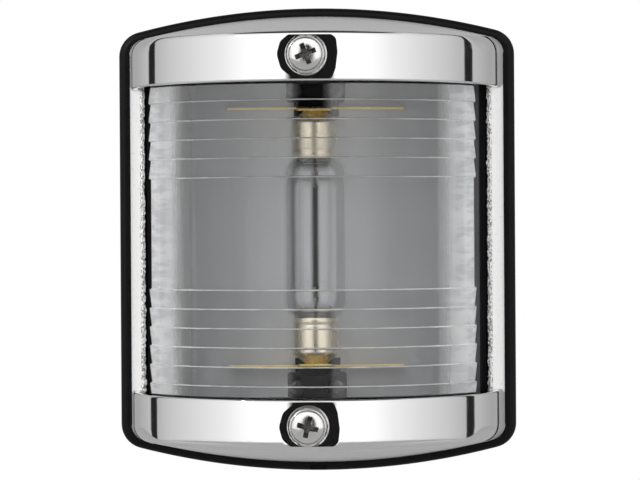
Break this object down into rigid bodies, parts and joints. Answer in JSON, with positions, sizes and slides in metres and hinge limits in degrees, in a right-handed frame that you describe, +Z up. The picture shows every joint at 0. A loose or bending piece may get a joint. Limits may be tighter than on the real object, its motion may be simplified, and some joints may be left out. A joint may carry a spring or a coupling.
{
  "type": "stern navigation light",
  "caption": "Boat stern navigation light: a festoon lamp behind a ribbed clear lens, on a black base under a polished steel cover.",
  "frame": {"origin": "centre of the mounting face, on the back of the gasket", "axes": "+X right as seen from in front, +Z up, -Y out of the wall towards the viewer"},
  "size_m": [0.0728, 0.0478, 0.085],
  "materials": {
    "black_plastic": "fine moulded black plastic",
    "rubber": "soft black rubber",
    "grey_rubber": "soft light grey rubber",
    "brass": "plain brass",
    "satin_metal": "satin grey sheet",
    "steel": "bright stainless steel",
    "polished_steel": "mirror-polished stainless steel",
    "clear_lens": "clear polycarbonate",
    "lamp_glass": "clear glass",
    "lamp_cap": "nickel-plated brass",
    "filament": "dark wire"
  },
  "bodies": {
    "base_body": {"mounting_gasket": "rubber", "base": "black_plastic", "cover_posts": "black_plastic", "cable_grommet": "rubber", "post_inserts": "brass", "lens_seal": "grey_rubber", "reflector_channel": "satin_metal", "upper_contact_holder": "black_plastic", "lower_contact_holder": "black_plastic", "holder_screws": "steel"},
    "upper_contact_body": {"upper_contact": "brass"},
    "lower_contact_body": {"lower_contact": "brass"},
    "lamp_body": {"lamp_glass": "lamp_glass", "upper_lamp_cap": "lamp_cap", "lower_lamp_cap": "lamp_cap", "lamp_filament": "filament", "lamp_leads": "filament", "lamp_beads": "lamp_glass"},
    "lens_body": {"lens": "clear_lens"},
    "cover_body": {"cover": "polished_steel", "upper_screw_seal": "rubber", "lower_screw_seal": "rubber"},
    "upper_screw_body": {"upper_cover_screw": "steel"},
    "lower_screw_body": {"lower_cover_screw": "steel"}
  },
  "joints": [
    {"name": "cover_slide", "type": "slide", "parent": "base_body", "child": "cover_body", "axis": [0, -1, 0], "range_m": [0, 0.06]},
    {"name": "lens_slide", "type": "slide", "parent": "base_body", "child": "lens_body", "axis": [0, -1, 0], "range_m": [0, 0.03]},
    {"name": "upper_screw_turn", "type": "hinge", "parent": "cover_body", "child": "upper_screw_body", "pos_m": [0, -0.0456, 0.0321], "axis": [0, -1, 0], "continuous": true},
    {"name": "lower_screw_turn", "type": "hinge", "parent": "cover_body", "child": "lower_screw_body", "pos_m": [0, -0.0456, -0.0321], "axis": [0, -1, 0], "continuous": true},
    {"name": "lamp_turn", "type": "hinge", "parent": "base_body", "child": "lamp_body", "pos_m": [0, -0.014, 0.0004], "axis": [0, 0, 1], "continuous": true},
    {"name": "upper_contact_bend", "type": "hinge", "parent": "base_body", "child": "upper_contact_body", "pos_m": [0, -0.0104, 0.02145], "axis": [-1, 0, 0], "range_deg": [0, 8], "stiffness_Nm_per_rad": 0.06},
    {"name": "lower_contact_bend", "type": "hinge", "parent": "base_body", "child": "lower_contact_body", "pos_m": [0, -0.0104, -0.02065], "axis": [1, 0, 0], "range_deg": [0, 8], "stiffness_Nm_per_rad": 0.06}
  ],
  "couplings": [
    {"joint": "lens_slide", "follows": "cover_slide", "ratio": 0.5}
  ]
}
